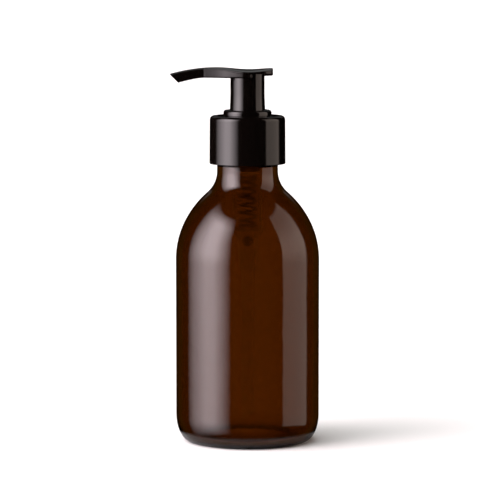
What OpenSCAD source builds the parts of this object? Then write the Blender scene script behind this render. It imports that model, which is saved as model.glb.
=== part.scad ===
// Soap pump dispenser: a round glass bottle with a screw-on lotion pump.
// Millimetres. +Z is up, the origin is on the table under the bottle's middle, and the spout points to -X.

/* [Bottle] */
// Outer diameter of the straight body
body_d = 61.5; // [60:0.1:64]
// Height of the glass from the table to the lip
bottle_h = 135.3; // [134:0.1:138]
// Height at which the straight body ends and the shoulder starts
shoulder_z = 78.5; // [76:0.1:81]
// Thickness of the glass wall
glass_t = 2.2; // [1.8:0.1:2.4]
// Thickness of the glass at the middle of the base
base_t = 2.6; // [2.4:0.1:4]
// Depth of the hollow pushed up under the base
push_up = 3; // [2:0.1:4]
// Inner diameter of the ring that the bottle stands on
ring_d = 36; // [30:0.5:40]
// How far in from the side the heel curve reaches
heel_w = 6; // [5:0.1:7]
// How far up the side the heel curve reaches
heel_h = 11.7; // [10:0.1:13]

/* [Neck] */
// Outer diameter of the plain neck
neck_d = 26.1; // [26:0.1:26.4]
// Diameter of the transfer bead under the thread
bead_d = 27.2; // [26.8:0.1:27.6]
// Diameter at the root of the screw thread
finish_d = 25.2; // [25:0.1:25.4]
// Diameter over the screw thread
thread_d = 27.4; // [27:0.1:27.5]
// Rise of the screw thread in one turn
thread_pitch = 4.23; // [4.23]
// Turns of thread on the neck
thread_turns = 1.5; // [1.25:0.25:1.5]

/* [Closure] */
// Outer diameter of the collar at its lower rim
collar_d = 32.56; // [32.2:0.02:33]
// Outer diameter of the collar where its top edge starts to round
collar_top_d = 32.3; // [32:0.02:32.6]
// Height of the collar
collar_h = 20.9; // [20:0.1:21.5]
// Inner diameter of the collar
collar_bore_d = 28.2; // [28:0.1:28.6]
// Diameter over the crests of the collar's inner thread
collar_crest_d = 25.9; // [25.8:0.1:26.2]
// Radius of the collar's top edge
collar_round = 2.6; // [2:0.1:3]
// Diameter of the lock ring where it stands above the collar
boss_d = 20.6; // [20:0.1:20.8]
// Height of the lock ring above the collar
boss_h = 2.1; // [1.6:0.1:2.4]
// Diameter of the lock ring's bore, which the head's skirt slides into
boss_bore_d = 15.9; // [15.8:0.1:16.1]

/* [Head] */
// Travel of the head from rest to fully pressed
stroke = 13; // [11:0.5:13]
// Diameter of the head's skirt near the top
skirt_d = 14.62; // [14.4:0.02:14.8]
// Diameter of the head's skirt at its lower end
skirt_low_d = 15.2; // [15:0.02:15.3]
// Distance from the axis to the end of the spout
spout_reach = 32.8; // [30:0.1:35]
// Distance from the axis to the back edge of the thumb pad
pad_back = 10.9; // [10:0.1:12]
// Half the width of the thumb pad at its widest
pad_half_w = 10; // [9.4:0.1:11]
// Half the width of the spout near its end
spout_half_w = 3.5; // [3:0.1:4.2]

/* [Pump] */
// Outer diameter of the pump chamber
chamber_d = 13; // [12.6:0.1:13.4]
// Inner diameter of the pump chamber
chamber_bore_d = 11; // [10.8:0.1:11.2]
// Outer diameter of the hollow stem
stem_d = 8; // [7.8:0.1:8.1]
// Wire diameter of the return spring
wire_d = 0.9; // [0.7:0.05:1]
// Mean diameter of the return spring's coil
coil_d = 7.4; // [7.2:0.1:7.6]
// Turns of the return spring
coil_turns = 8; // [7:0.5:8.5]
// Diameter of the inlet ball
ball_d = 4.76; // [4.6:0.02:4.8]
// How far the inlet ball lifts off its seat
ball_lift = 1.3; // [0.8:0.1:1.4]
// Outer diameter of the dip tube
tube_d = 5.6; // [5.4:0.1:5.7]
// Height of the dip tube's lower end above the table
tube_z = 8.8; // [8.5:0.1:12]

/* [Hidden] */

// Smoothness of round solids and of drawn curves
$fn = 96;
arc_steps = 10;
// Gap between faces that touch in one assembly, and running gap of a piece that turns or slides
seat = 0.03;
run = 0.05;

// Bottle radii, and the two arcs and the fillet that make its shoulder
body_r = body_d / 2;
neck_r = neck_d / 2;
shoulder_r1 = 36.5;
shoulder_a1 = 27.1;
shoulder_r2 = 40.8;
shoulder_a2 = 47.5;
neck_fillet = 11.9;
bore_r = neck_r - glass_t;

// Heights of the closure's stack, from the lip of the bottle upwards
gasket_z = bottle_h + seat;
gasket_t = 1.1;
flange_z = gasket_z + gasket_t + seat;
flange_t = 1.15;
ring_z = flange_z + flange_t + seat;
ring_t = 1.2;
cap_z = ring_z + ring_t + run;
cap_top_z = 140.5 + (bottle_h - 135.3);
boss_z = cap_top_z + boss_h;
collar_z = cap_top_z - collar_h;
flange_r = 12.5;

// Cup of the housing, and the sleeve of the lock ring that sits in it
cup_r = 10.05;
cup_bore_r = 9;
cup_z = boss_z - 18.3;
sleeve_r = cup_bore_r - seat;
guide_z = cup_z + 1.4 + seat;
guide_t = 1.3;

// Chamber, throat and socket of the housing
chamber_z = cup_z - 33.6;
throat_r = 3;
throat_z = chamber_z - 4.5;
seat_slope = 0.7;
seat_h = 2;
inlet_r = throat_r - seat_slope * seat_h;
socket_z = throat_z - 12;
socket_h = 8.3;
socket_r = tube_d / 2 + seat;
neck_outer_r = 4.3;

// Ball, resting just clear of its cone
ball_gap = 0.12;
ball_z = throat_z - seat_h
    + ((ball_d / 2 + ball_gap) * sqrt(1 + seat_slope * seat_slope) - inlet_r) / seat_slope;

// Plunger: stem, piston and rod
stem_r = stem_d / 2;
rod_r = 2.55;
cage_t = 1.2;
spring_z = chamber_z + cage_t + seat;
spring_h = 22.5;
valve_z = spring_z + spring_h + seat;
valve_h = 1.9;
piston_z = valve_z + valve_h + run;
piston_lag = 1;
piston_sole = 1.2;
stem_z = piston_z + piston_sole + piston_lag + run;
piston_h = 6.9;
stem_top_z = boss_z + 11.6;

// Head: heights of its underside and of the points that its outline bends through
spout_z = boss_z + 0.65 + stroke;
head_top_z = spout_z + 4.1;
pad_low_z = head_top_z - 1;
skirt_z = boss_z - 1.4;
skirt_bore_r = 6.35;
socket_wall = 1.2;

// A point on the cubic curve through p[0] and p[3], pulled towards p[1] and p[2]
function curve_at(p, t) = pow(1 - t, 3) * p[0] + 3 * t * pow(1 - t, 2) * p[1]
    + 3 * t * t * (1 - t) * p[2] + pow(t, 3) * p[3];
function curve(p, n = arc_steps) = [for (i = [0:n]) curve_at(p, i / n)];
// An arc about c from angle a to angle b
function arc(c, r, a, b, n = arc_steps) = [for (i = [0:n])
    let (t = a + (b - a) * i / n) c + r * [cos(t), sin(t)]];
// A quarter of an ellipse about c, from angle a to angle b
function oval(c, rx, ry, a, b, n = arc_steps) =
    [for (i = [0:n]) let (t = a + (b - a) * i / n) c + [rx * cos(t), ry * sin(t)]];
// The outline without points that repeat the one before
function clean(p) = [for (i = [0:len(p) - 1]) if (i == 0 || norm(p[i] - p[max(i - 1, 0)]) > 0.002) p[i]];
function flip(p) = [for (i = [len(p) - 1:-1:0]) p[i]];
function shift(p, d) = [for (q = p) q + d];

module spun(outline) {
    rotate_extrude() polygon(clean(outline));
}

// A plain ring between two radii and two heights
module ring(r0, r1, z0, z1) {
    spun([[r0, z0], [r1, z0], [r1, z1], [r0, z1]]);
}

// An outline in the XZ plane, made into a slab across Y
module slab(outline, width) {
    rotate([90, 0, 0]) linear_extrude(width, center = true) polygon(clean(outline));
}

// A screw ridge that climbs as it turns anticlockwise, and fades out at both ends
module screw_ridge(root_r, crest_r, root_w, crest_w, z0, turn0, turns) {
    steps = ceil(turns * 40);
    fade = 3;
    function lift(i) = min(1, i / fade, (steps - i) / fade);
    corners = [for (i = [0:steps]) let (
        turn = turn0 + turns * i / steps,
        z = z0 + thread_pitch * turns * i / steps,
        r = root_r + (crest_r - root_r) * max(0.05, lift(i)))
        each [for (c = [[root_r, -root_w], [r, -crest_w], [r, crest_w], [root_r, root_w]])
            [c[0] * cos(360 * turn), c[0] * sin(360 * turn), z + c[1] / 2]]];
    sides = [for (i = [0:steps - 1], k = [0:3]) let (a = 4 * i + k, b = 4 * i + (k + 1) % 4)
        [a, a + 4, b + 4, b]];
    ends = [[0, 1, 2, 3], [4 * steps + 3, 4 * steps + 2, 4 * steps + 1, 4 * steps]];
    faces = concat(sides, ends);
    if (crest_r > root_r) polyhedron(corners, [for (f = faces) flip(f)], convexity = 4);
    else polyhedron(corners, faces, convexity = 4);
}

// The shoulder of the bottle, set in by t, from the body up to the neck
function shoulder(t) = let (
    c1 = [body_r - shoulder_r1, shoulder_z],
    p1 = c1 + shoulder_r1 * [cos(shoulder_a1), sin(shoulder_a1)],
    c2 = p1 - shoulder_r2 * [cos(shoulder_a1), sin(shoulder_a1)],
    p2 = c2 + shoulder_r2 * [cos(shoulder_a2), sin(shoulder_a2)],
    fillet_in = neck_fillet * (1 - cos(shoulder_a2)),
    run_in = p2.x - neck_r - fillet_in,
    c3 = [neck_r + neck_fillet, p2.y + run_in / tan(shoulder_a2) + neck_fillet * sin(shoulder_a2)])
    concat(arc(c1, shoulder_r1 - t, 0, shoulder_a1),
           arc(c2, shoulder_r2 - t, shoulder_a1, shoulder_a2),
           arc(c3, neck_fillet + t, 180 + shoulder_a2, 180));

// A shallow dome from the axis down to radius r, rising h in the middle and standing on z
function dome(r, h, z) = let (big = (r * r + h * h) / (2 * h))
    arc([0, z + h - big], big, 90, 90 - asin(r / big));

module bottle() {
    inner_heel_w = heel_w - 1.4;
    inner_heel_h = heel_h - 2.4;
    inner_r = body_r - glass_t;
    bead_r = bead_d / 2;
    bead_z = collar_z + 0.9;
    lip = 0.8;
    finish_r = finish_d / 2;
    outer = concat(
        dome(ring_d / 2, push_up, 0),
        oval([body_r - heel_w, heel_h], heel_w, heel_h, -90, 0, 14),
        shoulder(0),
        [[neck_r, bead_z - 1.8], [bead_r, bead_z], [bead_r, bead_z + 2.4], [finish_r, bead_z + 3.2]],
        arc([finish_r - lip, bottle_h - lip], lip, 0, 90, 4));
    inner = concat(
        dome(inner_r - inner_heel_w, push_up - 0.8, base_t),
        oval([inner_r - inner_heel_w, base_t + inner_heel_h], inner_heel_w, inner_heel_h, -90, 0),
        shoulder(glass_t),
        [[bore_r, bottle_h - 0.4], [bore_r + 0.4, bottle_h]]);
    color([0.36, 0.15, 0.03]) union() {
        spun(concat(outer, flip(inner)));
        screw_ridge(finish_r - 0.4, thread_d / 2, 2.9, 1, bottle_h - 8.2, 0, thread_turns);
    }
}

module collar() {
    low_r = collar_d / 2;
    top_r = collar_top_d / 2;
    bore = collar_bore_d / 2;
    hole = boss_d / 2 + 0.3;
    edge = 0.35;
    round_c = [top_r - collar_round, cap_top_z - 0.35 - collar_round];
    color([0.05, 0.045, 0.045]) union() {
        spun(concat(
            [[bore + edge, collar_z], [low_r - edge, collar_z], [low_r, collar_z + edge]],
            arc(round_c, collar_round, 0, 90),
            [[hole, cap_top_z], [hole, cap_z], [bore - 0.8, cap_z], [bore, cap_z - 0.8],
             [bore, collar_z + edge]]));
        screw_ridge(bore + 0.4, collar_crest_d / 2, 2.9, 1,
            bottle_h - 8.2 - thread_pitch / 2, 0, thread_turns);
    }
}

module lock_ring() {
    r = boss_d / 2;
    bore = boss_bore_d / 2;
    edge = 1.2;
    color([0.07, 0.065, 0.065]) spun(concat(
        [[stem_r + 0.35, guide_z], [sleeve_r - 0.5, guide_z], [sleeve_r, guide_z + 0.5], [sleeve_r, ring_z],
         [flange_r, ring_z], [flange_r, ring_z + ring_t], [r, ring_z + ring_t]],
        arc([r - edge, boss_z - edge], edge, 0, 90, 6),
        [[bore + 0.5, boss_z], [bore, boss_z - 0.5], [bore, guide_z + guide_t],
         [stem_r + 0.35, guide_z + guide_t]]));
}

module neck_gasket() {
    color([0.82, 0.8, 0.76]) ring(cup_r + 0.25, flange_r, gasket_z, gasket_z + gasket_t);
}

module pump_housing() {
    vent_r = 0.6;
    outer_r = chamber_d / 2;
    bore = chamber_bore_d / 2;
    floor_z = cup_z + 1.4;
    color([0.86, 0.86, 0.83]) difference() {
        spun([
            [socket_r, socket_z], [socket_r + 0.9, socket_z], [neck_outer_r, socket_z + socket_h],
            [neck_outer_r, throat_z + 1.5], [outer_r, chamber_z - 0.8], [outer_r, cup_z],
            [cup_r, cup_z], [cup_r, flange_z], [flange_r, flange_z], [flange_r, flange_z + flange_t],
            [cup_bore_r, flange_z + flange_t], [cup_bore_r, floor_z], [bore, floor_z], [bore, chamber_z],
            [throat_r, chamber_z], [throat_r, throat_z], [inlet_r, throat_z - seat_h],
            [inlet_r, socket_z + socket_h], [socket_r, socket_z + socket_h]]);
        translate([0, 0, cup_z - 1.8]) rotate([0, 90, 0]) cylinder(h = outer_r + 1, r = vent_r, $fn = 32);
    }
}

module dip_tube() {
    wall = 0.8;
    top_z = socket_z + socket_h - 0.3;
    slant = 30;
    color([0.9, 0.9, 0.88]) difference() {
        translate([0, 0, tube_z]) cylinder(h = top_z - tube_z, d = tube_d);
        translate([0, 0, tube_z - 1]) cylinder(h = top_z - tube_z + 2, d = tube_d - 2 * wall);
        translate([-tube_d / 2, 0, tube_z]) rotate([0, -slant, 0]) translate([0, -tube_d, -tube_d])
            cube([3 * tube_d, 2 * tube_d, tube_d]);
    }
}

module inlet_ball() {
    color([0.75, 0.75, 0.77]) translate([0, 0, ball_z]) sphere(d = ball_d);
}

// A slotted disc over the throat: it holds the ball down and carries the spring
module ball_cage() {
    bore = chamber_bore_d / 2;
    slot_w = 1.1;
    slot_l = 2.9;
    guide_r = coil_d / 2 - wire_d / 2 - 0.25;
    color([0.84, 0.84, 0.8]) difference() {
        union() {
            translate([0, 0, chamber_z + seat]) cylinder(h = cage_t, r = bore - seat);
            ring(guide_r - 0.7, guide_r, chamber_z + cage_t, chamber_z + cage_t + 1.4);
        }
        for (a = [0:120:240])
            rotate([0, 0, a]) translate([0, -slot_w / 2, chamber_z - 1]) cube([slot_l, slot_w, cage_t + 4]);
    }
}

// Round wire wound to a compression spring, its end turns closed up
module return_spring() {
    sides = 8;
    per_turn = 18;
    steps = round(coil_turns * per_turn);
    closed = 1;
    pitch_low = wire_d * 1.08;
    free_turns = coil_turns - 2 * closed;
    climb = (spring_h - wire_d - 2 * closed * pitch_low) / free_turns;
    function height(u) = u < closed ? u * pitch_low
        : u < closed + free_turns ? closed * pitch_low + (u - closed) * climb
        : spring_h - wire_d - (coil_turns - u) * pitch_low;
    points = [for (i = [0:steps]) let (u = i / per_turn, a = 360 * u, z = spring_z + wire_d / 2 + height(u))
        each [for (k = [0:sides - 1]) let (r = coil_d / 2 + wire_d / 2 * cos(360 * k / sides))
            [r * cos(a), r * sin(a), z + wire_d / 2 * sin(360 * k / sides)]]];
    skin = [for (i = [0:steps - 1], k = [0:sides - 1]) let (a = sides * i, b = (k + 1) % sides)
        [a + k, a + b, a + sides + b, a + sides + k]];
    caps = [[for (k = [sides - 1:-1:0]) k], [for (k = [0:sides - 1]) sides * steps + k]];
    color([0.7, 0.71, 0.73]) polyhedron(points, [for (f = concat(skin, caps)) flip(f)], convexity = 10);
}

// The pin that carries the piston: plug in the stem above, spring guide below
module piston_rod() {
    guide_r = 2.6;
    valve_r = 4.35;
    flute = 0.9;
    tip_z = valve_z - 5.5;
    plug_z = stem_z + 7.8;
    color([0.8, 0.8, 0.76]) difference() {
        spun([[0, tip_z], [guide_r - 0.8, tip_z], [guide_r, tip_z + 0.8], [guide_r, valve_z],
              [valve_r, valve_z],
              [valve_r, valve_z + 0.7], [rod_r + 0.35, valve_z + valve_h], [rod_r, valve_z + valve_h],
              [rod_r, plug_z - 0.6], [rod_r - 0.6, plug_z], [0, plug_z]]);
        for (a = [0:90:270])
            rotate([0, 0, a]) translate([rod_r - 0.7, -flute / 2, valve_z + valve_h + 0.3])
                cube([2, flute, plug_z - valve_z]);
    }
}

// Two-lipped piston that slides a little on the stem, so that it opens and shuts the way in
module piston_seal() {
    lip_r = chamber_bore_d / 2 - run;
    waist_r = lip_r - 0.55;
    hub_r = stem_r + run;
    top = piston_z + piston_h;
    sole = piston_z + piston_sole;
    color([0.88, 0.88, 0.85]) spun([
        [rod_r + 0.5, piston_z], [lip_r - 0.4, piston_z], [lip_r, piston_z + 0.4], [lip_r, piston_z + 1.5],
        [waist_r, piston_z + 2.1], [waist_r, top - 1.9], [lip_r, top - 1.3], [lip_r, top - 0.2],
        [lip_r - 0.35, top], [hub_r, top], [hub_r, sole], [rod_r + 0.5, sole]]);
}

module stem_wiper() {
    z = guide_z + guide_t + seat;
    color([0.85, 0.84, 0.8]) spun([
        [stem_r + run, z], [stem_r + 1.7, z], [stem_r + 1.7, z + 0.5], [stem_r + 0.7, z + 1],
        [stem_r + run, z + 1]]);
}

module pump_stem() {
    bore_low = rod_r + run;
    bore_high = 2.1;
    step_z = stem_z + 8;
    color([0.09, 0.085, 0.085]) spun([
        [bore_low, stem_z], [stem_r, stem_z], [stem_r, stem_top_z - 0.4], [stem_r - 0.4, stem_top_z],
        [bore_high, stem_top_z], [bore_high, step_z], [bore_low, step_z]]);
}

// Outline of the spout and pad seen from above, symmetric about the X axis
function plan(tip_w, flare_w, wide_w, back_x, back_w) = let (
    side = concat(
        curve([[-spout_reach - 1, tip_w], [-24, tip_w], [-20, tip_w], [-16, flare_w]], 8),
        curve([[-16, flare_w], [-12.5, flare_w + 1.1], [-8.5, wide_w - 1.9], [-5, wide_w - 0.6]], 8),
        curve([[-5, wide_w - 0.6], [-3.6, wide_w - 0.1], [-2, wide_w], [0.5, wide_w]], 6),
        curve([[0.5, wide_w], [back_x / 2, wide_w], [back_x - 0.3, back_w + 2], [back_x, back_w]], 8)))
    concat(side, [for (q = flip(side)) [q.x, -q.y]]);

module pump_head() {
    tip = [-spout_reach, head_top_z - 3.1];
    lip = [-spout_reach + 3.8, spout_z - 1.85];
    crest = [-13.2, head_top_z];
    saddle = [0.5, pad_low_z];
    back = [pad_back, head_top_z - 0.45];
    top = concat(
        curve([tip, [-27, head_top_z - 1.05], [-20, head_top_z], crest]),
        curve([crest, [-8, head_top_z], [-4.5, pad_low_z], saddle]),
        curve([saddle, [5, pad_low_z], [6.5, back.y], back], 6));
    spout_low = curve([lip, [-25.5, spout_z - 0.85], [-21.5, spout_z], [-18, spout_z]]);
    pad_low = concat(
        [[pad_back, head_top_z - 3.15], [6.8, head_top_z - 2.9]],
        curve([[0, head_top_z - 2.6], [-5, head_top_z - 2.6], [-9, head_top_z - 0.9],
               [-14, head_top_z - 0.4]], 6));
    duct_low = shift(spout_low, [0, 1.15]);
    duct = concat([[-spout_reach - 2, duct_low[0].y - 1]], duct_low,
        [[0, spout_z + 1.15], [0, spout_z + 2.95]],
        shift(flip(duct_low), [0, 1.8]), [[-spout_reach - 2, duct_low[0].y + 0.8]]);
    low_r = skirt_low_d / 2;
    top_r = skirt_d / 2;
    flare_z = skirt_z + 8.6;
    socket_bore = stem_r + seat;
    color([0.05, 0.045, 0.045]) difference() {
        union() {
            intersection() {
                slab(concat(top, [[6, pad_low_z - 3], [6, spout_z]], flip(spout_low)), 30);
                translate([0, 0, spout_z - 5]) linear_extrude(12)
                    polygon(clean(plan(spout_half_w, spout_half_w + 1.2, pad_half_w - 0.8, 4.4, 5.6)));
            }
            intersection() {
                slab(concat(top, pad_low), 30);
                translate([0, 0, spout_z - 5]) linear_extrude(12)
                    polygon(clean(plan(spout_half_w, spout_half_w + 1.3, pad_half_w, pad_back, 5)));
            }
            difference() {
                spun([[0, skirt_z], [low_r - 0.25, skirt_z], [low_r, skirt_z + 0.25], [top_r, flare_z],
                      [top_r, head_top_z - 2.2], [0, head_top_z - 2.2]]);
                spun([[0, skirt_z - 1], [skirt_bore_r, skirt_z - 1], [skirt_bore_r, spout_z], [0, spout_z]]);
            }
            ring(socket_bore - 0.5, socket_bore + socket_wall, stem_top_z - 6, spout_z + 0.5);
        }
        slab(duct, 4.4);
        translate([0, 0, stem_top_z - 7]) cylinder(h = 7 + seat, r = socket_bore);
        cylinder(h = spout_z + 2.6, r = 2.1);
    }
}

bottle();
collar();
lock_ring();
neck_gasket();
pump_housing();
dip_tube();
inlet_ball();
ball_cage();
return_spring();
piston_rod();
piston_seal();
stem_wiper();
pump_stem();
pump_head();
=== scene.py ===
"""Soap pump dispenser: an amber glass bottle with a black screw-on lotion pump, in a pale studio.

Every length is in metres. +Z is up, the origin is on the table under the bottle, and the spout points to -X.
"""

import logging
import math
from dataclasses import dataclass
from enum import Enum
from functools import cache
from typing import Callable, Optional, Sequence

import bmesh
import bpy
import numpy as np
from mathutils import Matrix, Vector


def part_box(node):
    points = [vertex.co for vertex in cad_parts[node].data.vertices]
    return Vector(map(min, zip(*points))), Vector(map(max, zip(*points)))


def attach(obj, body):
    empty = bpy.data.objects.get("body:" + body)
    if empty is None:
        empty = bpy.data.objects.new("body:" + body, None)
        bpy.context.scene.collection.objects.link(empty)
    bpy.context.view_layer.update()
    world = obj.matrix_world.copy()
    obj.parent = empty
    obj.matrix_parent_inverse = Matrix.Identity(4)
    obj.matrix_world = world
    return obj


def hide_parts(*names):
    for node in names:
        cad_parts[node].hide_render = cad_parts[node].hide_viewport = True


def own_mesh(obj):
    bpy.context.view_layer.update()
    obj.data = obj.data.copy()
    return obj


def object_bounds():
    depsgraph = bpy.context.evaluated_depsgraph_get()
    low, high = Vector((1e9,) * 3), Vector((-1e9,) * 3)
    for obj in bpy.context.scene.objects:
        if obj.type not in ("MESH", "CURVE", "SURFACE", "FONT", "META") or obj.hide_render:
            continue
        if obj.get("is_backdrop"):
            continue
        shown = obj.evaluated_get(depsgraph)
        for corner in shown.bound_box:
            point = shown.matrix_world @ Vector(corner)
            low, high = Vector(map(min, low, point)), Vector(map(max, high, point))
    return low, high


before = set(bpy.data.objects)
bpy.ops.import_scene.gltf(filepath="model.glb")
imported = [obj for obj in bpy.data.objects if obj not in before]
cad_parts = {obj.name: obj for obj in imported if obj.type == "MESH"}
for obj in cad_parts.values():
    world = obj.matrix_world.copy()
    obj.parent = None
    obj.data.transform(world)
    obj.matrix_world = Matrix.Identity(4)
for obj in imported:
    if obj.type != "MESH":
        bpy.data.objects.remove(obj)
cad_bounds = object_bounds()

log = logging.getLogger("dispenser")

Array = np.ndarray
Point = Sequence[float]
Colour = tuple[float, float, float]
Bulge = Callable[[Array, Array], Array]
Source = tuple[bpy.types.Node, object]

TAU = 2 * math.pi
MERGE = 1e-8
SHARP = 40.0


class Slot(Enum):
    """The record's material slots."""

    GLASS = "amber_glass"
    BLACK = "black_plastic"
    NATURAL = "natural_plastic"
    TUBE = "tube_plastic"
    SOFT = "soft_plastic"
    FOAM = "foam_washer"
    WIRE = "spring_steel"
    BALL = "ball_steel"


class Body(Enum):
    """The bodies that pieces ride on."""

    GLASS = "glass"
    CORE = "pump_core"
    CLOSURE = "closure"
    PLUNGER = "plunger"
    SEAL = "seal"
    ACTUATOR = "actuator"
    BALL = "check_ball"


# ---------------------------------------------------------------- curves and outlines


def smooth(t: Array) -> Array:
    """Eases a share: 3 t^2 - 2 t^3, with t kept from 0 to 1."""
    t = np.clip(t, 0, 1)
    return t * t * (3 - 2 * t)


def cubic(p0: Point, p1: Point, p2: Point, p3: Point, n: int = 24) -> Array:
    """Points on a cubic curve.

    The point at share t is (1-t)^3 p0 + 3t(1-t)^2 p1 + 3t^2(1-t) p2 + t^3 p3.

    Args:
        p0: where the curve starts.
        p1: what it heads for at its start.
        p2: what it comes from at its end.
        p3: where it ends.
        n: how many steps it has.

    Returns:
        An array of n + 1 points.
    """
    t = np.linspace(0, 1, n + 1)[:, None]
    a, b, c, d = (np.asarray(p, float) for p in (p0, p1, p2, p3))
    return (1 - t) ** 3 * a + 3 * t * (1 - t) ** 2 * b + 3 * t * t * (1 - t) * c + t**3 * d


def arc(centre: Point, rx: float, rz: float, start: float, end: float, n: int = 16) -> Array:
    """Points on an arc of an ellipse: centre + (rx cos a, rz sin a), with a from start to end in degrees.

    Args:
        centre: the middle of the ellipse.
        rx: its first half axis.
        rz: its second half axis.
        start: angle of the first point.
        end: angle of the last point.
        n: how many steps it has.

    Returns:
        An array of n + 1 points.
    """
    a = np.radians(np.linspace(start, end, n + 1))
    return np.asarray(centre, float) + np.stack([rx * np.cos(a), rz * np.sin(a)], axis=1)


def rounded(corners: Sequence[Point], steps: int = 6) -> Array:
    """A closed outline with round corners.

    At a corner of angle w and radius r, both sides are cut back by r / tan(w / 2). An arc joins the cuts. Its
    centre is r / sin(w / 2) from the corner, along the bisector.

    Args:
        corners: (radius from the axis, height, corner radius) of each corner in turn.
        steps: how many steps each arc has.

    Returns:
        An array of points, steps + 1 for each corner.
    """
    data = np.asarray(corners, float)
    p, r = data[:, :2], data[:, 2:3]
    back, ahead = np.roll(p, 1, axis=0) - p, np.roll(p, -1, axis=0) - p
    len_back = np.linalg.norm(back, axis=1, keepdims=True)
    len_ahead = np.linalg.norm(ahead, axis=1, keepdims=True)
    back, ahead = back / len_back, ahead / len_ahead
    half = np.arccos(np.clip((back * ahead).sum(axis=1, keepdims=True), -0.9999, 0.9999)) / 2
    cut = np.minimum(r / np.tan(half), 0.49 * np.minimum(len_back, len_ahead))
    radius = cut * np.tan(half)
    bisector = back + ahead
    bisector = bisector / np.maximum(np.linalg.norm(bisector, axis=1, keepdims=True), 1e-9)
    centre = p + bisector * radius / np.sin(half)
    start, end = p + back * cut - centre, p + ahead * cut - centre
    sweep = (math.pi - 2 * half)[:, None, :]
    t = np.linspace(0, 1, steps + 1)[None, :, None]
    from_start, to_end = np.sin((1 - t) * sweep), np.sin(t * sweep)
    turn = (from_start * start[:, None, :] + to_end * end[:, None, :]) / np.sin(sweep)
    return (centre[:, None, :] + turn).reshape(-1, 2)


def finer(outline: Array, step: float) -> Array:
    """The outline with extra points, so that none are further apart than step along it. Its own points stay.

    Args:
        outline: an open run of points.
        step: the widest gap to leave.

    Returns:
        The points of the finer outline.
    """
    gaps = np.linalg.norm(np.diff(outline, axis=0), axis=1)
    run = np.concatenate([[0.0], np.cumsum(gaps)])
    at = np.union1d(run, np.arange(0.0, run[-1], step))
    return np.stack([np.interp(at, run, outline[:, 0]), np.interp(at, run, outline[:, 1])], axis=1)


def by_x(*runs: object) -> Callable[[Array], Array]:
    """The second value of a curve as a function of its first, by straight lines between its points.

    Args:
        runs: the curve's points, as one or more runs of (first, second) values.

    Returns:
        The function.
    """
    curve = np.concatenate(runs)
    return lambda x: np.interp(x, curve[:, 0], curve[:, 1])


# ---------------------------------------------------------------- meshes


def skin(name: str, points: Array, wrap_rows: bool = False, sharp: float = SHARP) -> bpy.types.Object:
    """Makes a closed piece from a grid of points, and shades it smooth up to an angle.

    Each row of points is a closed ring. Points that fall together, at a pole or a seam, become one, and every
    face is turned to point outwards.

    Args:
        name: the piece's name.
        points: an array of rows by columns of places.
        wrap_rows: whether the last row joins the first.
        sharp: the angle in degrees past which an edge stays sharp.

    Returns:
        The new object, at the origin.
    """
    rows, cols = points.shape[:2]
    i = np.arange(rows if wrap_rows else rows - 1)[:, None]
    j = np.arange(cols)[None, :]
    i1, j1 = (i + 1) % rows, (j + 1) % cols
    faces = np.stack([i * cols + j, i * cols + j1, i1 * cols + j1, i1 * cols + j], axis=-1).reshape(-1, 4)
    mesh = bpy.data.meshes.new(name)
    mesh.vertices.add(rows * cols)
    mesh.vertices.foreach_set("co", points.reshape(-1).astype(np.float32))
    mesh.loops.add(faces.size)
    mesh.loops.foreach_set("vertex_index", faces.reshape(-1).astype(np.int32))
    mesh.polygons.add(len(faces))
    mesh.polygons.foreach_set("loop_start", np.arange(0, faces.size, 4, dtype=np.int32))
    mesh.update(calc_edges=True)
    mesh.validate()
    close_up(mesh, sharp)
    piece = bpy.data.objects.new(name, mesh)
    bpy.context.scene.collection.objects.link(piece)
    return piece


def close_up(mesh: bpy.types.Mesh, sharp: float) -> None:
    """Joins points that fall together, turns the faces outwards and sets smooth and sharp edges.

    Args:
        mesh: the mesh to finish.
        sharp: the angle in degrees past which an edge stays sharp.
    """
    work = bmesh.new()
    work.from_mesh(mesh)
    bmesh.ops.remove_doubles(work, verts=work.verts, dist=MERGE)
    bmesh.ops.dissolve_degenerate(work, edges=work.edges, dist=MERGE / 10)
    bmesh.ops.recalc_face_normals(work, faces=work.faces)
    work.to_mesh(mesh)
    work.free()
    mesh.shade_smooth()
    mesh.set_sharp_from_angle(angle=math.radians(sharp))


def spun(
    name: str, outline: Array, closed: bool = True, sides: int = 160, bulge: Optional[Bulge] = None
) -> bpy.types.Object:
    """Turns an outline about the Z axis.

    A point at radius r, height z and turn a lands at ((r + bulge) cos a, (r + bulge) sin a, z).

    Args:
        name: the piece's name.
        outline: (radius, height) points.
        closed: whether the outline comes back to its start. An open one starts and ends on the axis.
        sides: how many steps go round.
        bulge: what is added to the radius, from the turn and the (radius, height) of each point.

    Returns:
        The new object.
    """
    turn = np.arange(sides)[None, :] * TAU / sides
    radius = np.repeat(outline[:, :1], sides, axis=1)
    if bulge is not None:
        radius = radius + bulge(turn, outline[:, None, :])
    height = np.repeat(outline[:, 1:2], sides, axis=1)
    points = np.stack([radius * np.cos(turn), radius * np.sin(turn), height], axis=-1)
    return skin(name, points, wrap_rows=closed)


def solid_of_corners(name: str, corners: Sequence[Point], sides: int) -> bpy.types.Object:
    """Turns a solid about the Z axis from an outline whose first and last corners are on the axis.

    Args:
        name: the piece's name.
        corners: (radius, height, corner radius) of each corner. The two on the axis are square.
        sides: how many steps go round.

    Returns:
        The new object.
    """
    steps = 6
    outline = rounded(corners, steps)[steps - 1 : -steps]
    return spun(name, outline, closed=False, sides=sides)


def joined(pieces: Sequence[bpy.types.Object]) -> bpy.types.Object:
    """Joins several objects into the first one.

    Args:
        pieces: objects that make one moulding.

    Returns:
        The first object, now holding all the meshes.
    """
    bpy.ops.object.select_all(action="DESELECT")
    for piece in pieces:
        piece.select_set(True)
    bpy.context.view_layer.objects.active = pieces[0]
    bpy.ops.object.join()
    return pieces[0]


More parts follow.
